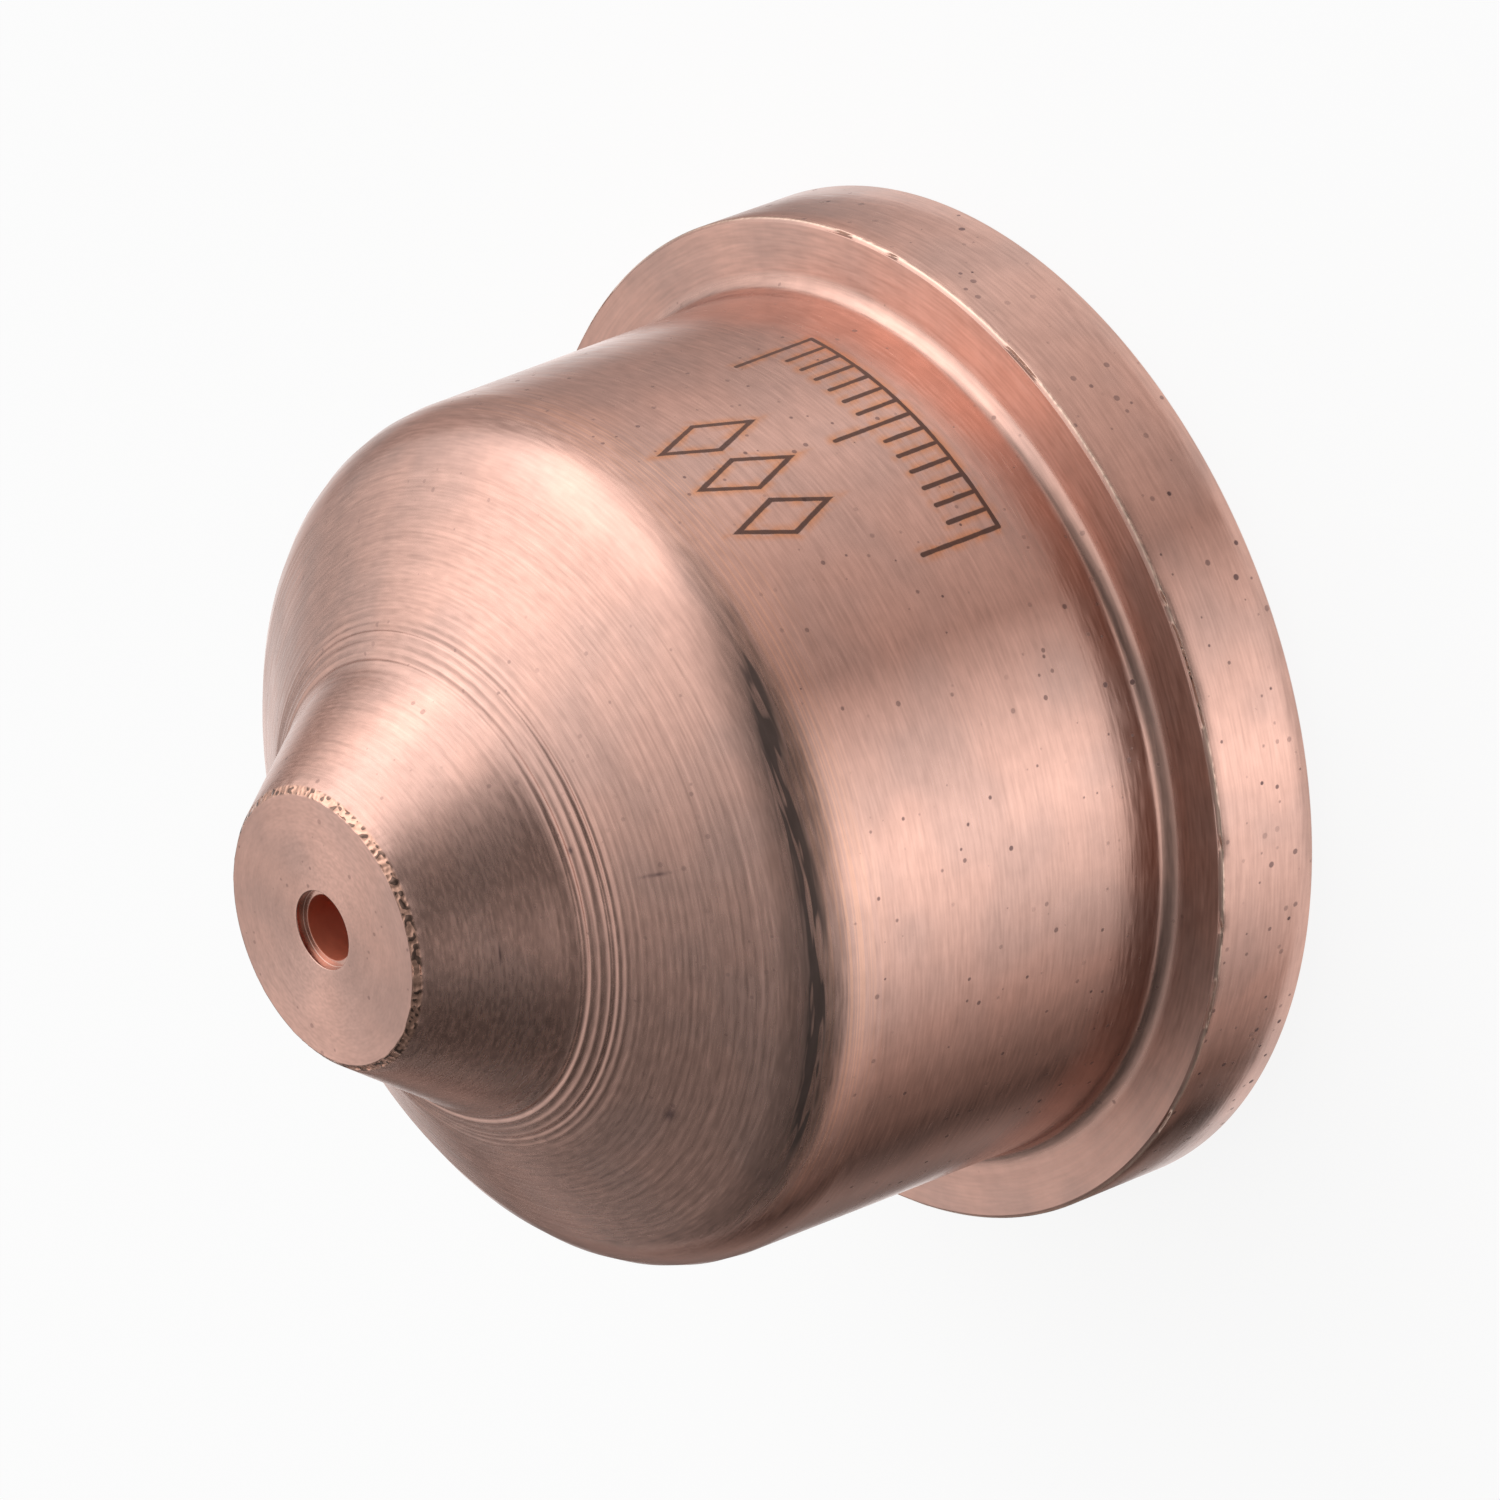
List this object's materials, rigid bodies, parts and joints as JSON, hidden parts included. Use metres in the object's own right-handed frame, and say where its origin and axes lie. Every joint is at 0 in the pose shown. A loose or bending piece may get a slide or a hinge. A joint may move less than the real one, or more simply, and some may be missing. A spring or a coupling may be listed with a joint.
{
  "type": "plasma torch nozzle",
  "caption": "Turned copper cup with a rear flange, a rounded shoulder and a double-cone nose that ends in a flat face with a small stepped orifice.",
  "frame": {"origin": "centre of the flange's back face, on the turning axis", "axes": "+Z along the turning axis towards the nose; +X and +Y lie across it"},
  "size_m": [0.02, 0.02, 0.0158],
  "materials": {
    "copper": "satin turned copper, slightly tarnished"
  },
  "bodies": {
    "root": {"nozzle": "copper"}
  },
  "joints": []
}
